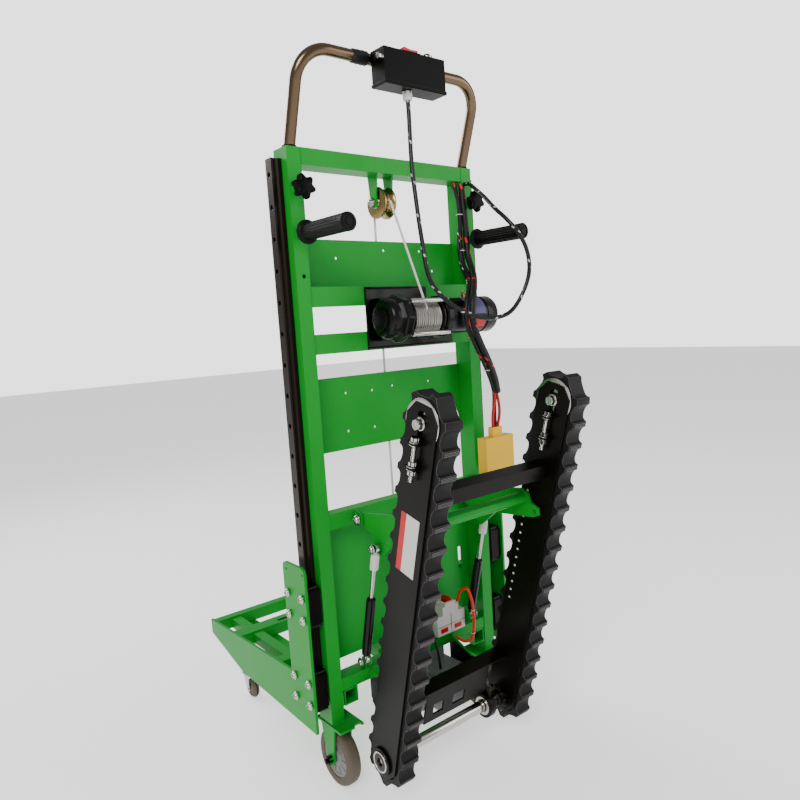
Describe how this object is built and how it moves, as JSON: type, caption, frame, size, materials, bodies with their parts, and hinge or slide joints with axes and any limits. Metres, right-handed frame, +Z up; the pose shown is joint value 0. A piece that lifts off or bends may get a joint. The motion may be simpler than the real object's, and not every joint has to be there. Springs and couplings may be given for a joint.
{
  "type": "stair climbing lift truck",
  "caption": "Electric stair-climbing hand truck with rubber crawler tracks, a winch-lifted load deck on linear rails and a telescopic handle.",
  "frame": {"origin": "bottom centre of the bounding box, on the floor between the main wheels and the front casters", "axes": "+X to the operator's right, +Y forward towards the load deck, +Z up; the tracks are on the -Y side"},
  "size_m": [0.562, 0.8859, 1.4905],
  "materials": {
    "green_paint": "glossy bright green powder coat",
    "black_paint": "satin black paint",
    "black_rubber": "dull black rubber",
    "rail_steel": "blackened linear guide rail",
    "grey_tyre": "warm grey rubber tyre",
    "bright_steel": "bright stainless or plated steel",
    "black_plastic": "black moulded plastic",
    "winch_black": "semi gloss black winch housing",
    "rope_steel": "galvanised steel wire rope",
    "zinc_yellow": "yellow zinc plating",
    "red_plastic": "red plastic",
    "white_plastic": "off white plastic",
    "grey_paint": "grey paint",
    "cable_black": "black cable sleeve",
    "amber_plastic": "amber yellow moulded plastic",
    "cable_red": "orange red cable"
  },
  "bodies": {
    "mast": {"top_crossbar": "green_paint", "upper_plate": "green_paint", "winch_bar_lower": "green_paint", "middle_plate": "green_paint", "pivot_crossbar": "green_paint", "base_frame": "green_paint", "upright_left": "green_paint", "upright_right": "green_paint", "rail_left": "rail_steel", "rail_right": "rail_steel", "side_grip_left": "black_rubber", "side_grip_right": "black_rubber", "wheel_fork_left": "green_paint", "wheel_fork_right": "green_paint", "winch_body": "winch_black", "rope_rear": "rope_steel", "rope_front": "rope_steel", "breaker_body": "white_plastic", "drive_motor": "grey_paint", "control_lead": "cable_black", "battery_lead": "cable_black", "battery_connector": "amber_plastic", "breaker_wire_red": "cable_red", "breaker_wire_black": "cable_black"},
    "handle": {"handle_bar": "bright_steel", "control_box": "black_plastic"},
    "rocker": {"rocker_switch": "red_plastic"},
    "button": {"push_button": "black_plastic"},
    "drum": {"winch_drum": "rope_steel"},
    "pulley": {"rope_pulley": "zinc_yellow"},
    "carriage": {"deck_frame": "green_paint", "carriage_side_left": "green_paint", "carriage_side_right": "green_paint", "rail_block_upper_left": "black_paint", "rail_block_upper_right": "black_paint", "rail_block_lower_left": "black_paint", "rail_block_lower_right": "black_paint"},
    "track_unit": {"track_frame_left": "black_paint", "track_frame_right": "black_paint", "track_belt_left": "black_rubber", "track_belt_right": "black_rubber", "track_cross_bar": "black_paint", "track_channel": "black_paint"},
    "drive_shaft": {"drive_shaft": "bright_steel"},
    "arm": {"support_arm": "green_paint"},
    "breaker_lever": {"breaker_toggle": "red_plastic"},
    "knob_left": {"star_knob_left": "black_plastic"},
    "wheel_left": {"wheel_left": "grey_tyre"},
    "caster_left": {"caster_fork_left": "bright_steel"},
    "caster_wheel_left": {"caster_wheel_left": "grey_tyre"},
    "idler_left": {"track_idler_left": "bright_steel"},
    "strut_left": {"strut_body_left": "black_paint"},
    "strut_rod_left": {"strut_rod_left": "bright_steel"},
    "knob_right": {"star_knob_right": "black_plastic"},
    "wheel_right": {"wheel_right": "grey_tyre"},
    "caster_right": {"caster_fork_right": "bright_steel"},
    "caster_wheel_right": {"caster_wheel_right": "grey_tyre"},
    "idler_right": {"track_idler_right": "bright_steel"},
    "strut_right": {"strut_body_right": "black_paint"},
    "strut_rod_right": {"strut_rod_right": "bright_steel"}
  },
  "joints": [
    {"name": "handle_slide", "type": "slide", "parent": "mast", "child": "handle", "axis": [0, 0, 1], "range_m": [0, 0.18]},
    {"name": "rocker_tilt", "type": "hinge", "parent": "handle", "child": "rocker", "pos_m": [-0.005, -0.18305, 1.48], "axis": [0, 1, 0], "range_deg": [-14, 0]},
    {"name": "button_press", "type": "slide", "parent": "handle", "child": "button", "axis": [0, 0, -1], "range_m": [0, 0.003], "stiffness_N_per_m": 400, "springref_m": -0.001},
    {"name": "carriage_lift", "type": "slide", "parent": "mast", "child": "carriage", "axis": [0, 0, 1], "range_m": [0, 0.78], "deforming": ["rope_front"]},
    {"name": "drum_spin", "type": "hinge", "parent": "mast", "child": "drum", "pos_m": [0.01, -0.14905, 0.975], "axis": [1, 0, 0], "range_deg": [-5, 1400]},
    {"name": "pulley_spin", "type": "hinge", "parent": "mast", "child": "pulley", "pos_m": [0, -0.05705, 1.22], "axis": [1, 0, 0], "range_deg": [-5, 1520]},
    {"name": "track_fold", "type": "hinge", "parent": "mast", "child": "track_unit", "pos_m": [0, -0.19705, 0.106], "axis": [1, 0, 0], "range_deg": [-7, 0]},
    {"name": "shaft_spin", "type": "hinge", "parent": "track_unit", "child": "drive_shaft", "pos_m": [0, -0.19705, 0.106], "axis": [1, 0, 0], "continuous": true},
    {"name": "arm_swing", "type": "hinge", "parent": "mast", "child": "arm", "pos_m": [0, -0.10105, 0.571], "axis": [1, 0, 0], "range_deg": [-0.5, 36]},
    {"name": "breaker_switch", "type": "hinge", "parent": "mast", "child": "breaker_lever", "pos_m": [0.096, -0.07405, 0.3153], "axis": [0, 1, 0], "range_deg": [-60, 0]},
    {"name": "knob_left_spin", "type": "hinge", "parent": "mast", "child": "knob_left", "pos_m": [-0.22, -0.10705, 1.228], "axis": [0, 1, 0], "continuous": true},
    {"name": "wheel_left_spin", "type": "hinge", "parent": "mast", "child": "wheel_left", "pos_m": [-0.206, -0.05905, 0.062], "axis": [1, 0, 0], "continuous": true},
    {"name": "caster_left_swivel", "type": "hinge", "parent": "mast", "child": "caster_left", "pos_m": [-0.1845, 0.42495, 0.062], "axis": [0, 0, 1], "continuous": true},
    {"name": "caster_left_spin", "type": "hinge", "parent": "caster_left", "child": "caster_wheel_left", "pos_m": [-0.1845, 0.40895, 0.025], "axis": [1, 0, 0], "continuous": true},
    {"name": "idler_left_spin", "type": "hinge", "parent": "track_unit", "child": "idler_left", "pos_m": [-0.17, -0.38564, 0.79775], "axis": [1, 0, 0], "continuous": true},
    {"name": "strut_left_swing", "type": "hinge", "parent": "mast", "child": "strut_left", "pos_m": [-0.151, -0.09905, 0.268], "axis": [1, 0, 0], "range_deg": [-10, 1]},
    {"name": "strut_left_stroke", "type": "slide", "parent": "strut_left", "child": "strut_rod_left", "axis": [0, -0.2523, 0.9677], "range_m": [-0.06, 0.001]},
    {"name": "knob_right_spin", "type": "hinge", "parent": "mast", "child": "knob_right", "pos_m": [0.22, -0.10705, 1.228], "axis": [0, 1, 0], "continuous": true},
    {"name": "wheel_right_spin", "type": "hinge", "parent": "mast", "child": "wheel_right", "pos_m": [0.206, -0.05905, 0.062], "axis": [1, 0, 0], "continuous": true},
    {"name": "caster_right_swivel", "type": "hinge", "parent": "mast", "child": "caster_right", "pos_m": [0.1845, 0.42495, 0.062], "axis": [0, 0, 1], "continuous": true},
    {"name": "caster_right_spin", "type": "hinge", "parent": "caster_right", "child": "caster_wheel_right", "pos_m": [0.1845, 0.40895, 0.025], "axis": [1, 0, 0], "continuous": true},
    {"name": "idler_right_spin", "type": "hinge", "parent": "track_unit", "child": "idler_right", "pos_m": [0.17, -0.38564, 0.79775], "axis": [1, 0, 0], "continuous": true},
    {"name": "strut_right_swing", "type": "hinge", "parent": "mast", "child": "strut_right", "pos_m": [0.151, -0.09905, 0.268], "axis": [1, 0, 0], "range_deg": [-10, 1]},
    {"name": "strut_right_stroke", "type": "slide", "parent": "strut_right", "child": "strut_rod_right", "axis": [0, -0.2523, 0.9677], "range_m": [-0.06, 0.001]}
  ],
  "couplings": [
    {"joint": "drum_spin", "follows": "carriage_lift", "rad_per_m": 30.12},
    {"joint": "pulley_spin", "follows": "carriage_lift", "rad_per_m": 33.333},
    {"joint": "arm_swing", "follows": "track_fold", "ratio": -5},
    {"joint": "idler_left_spin", "follows": "shaft_spin", "ratio": 1},
    {"joint": "strut_left_swing", "follows": "track_fold", "ratio": 1.057},
    {"joint": "strut_left_stroke", "follows": "track_fold", "m_per_rad": 0.29249},
    {"joint": "idler_right_spin", "follows": "shaft_spin", "ratio": 1},
    {"joint": "strut_right_swing", "follows": "track_fold", "ratio": 1.057},
    {"joint": "strut_right_stroke", "follows": "track_fold", "m_per_rad": 0.29249}
  ]
}
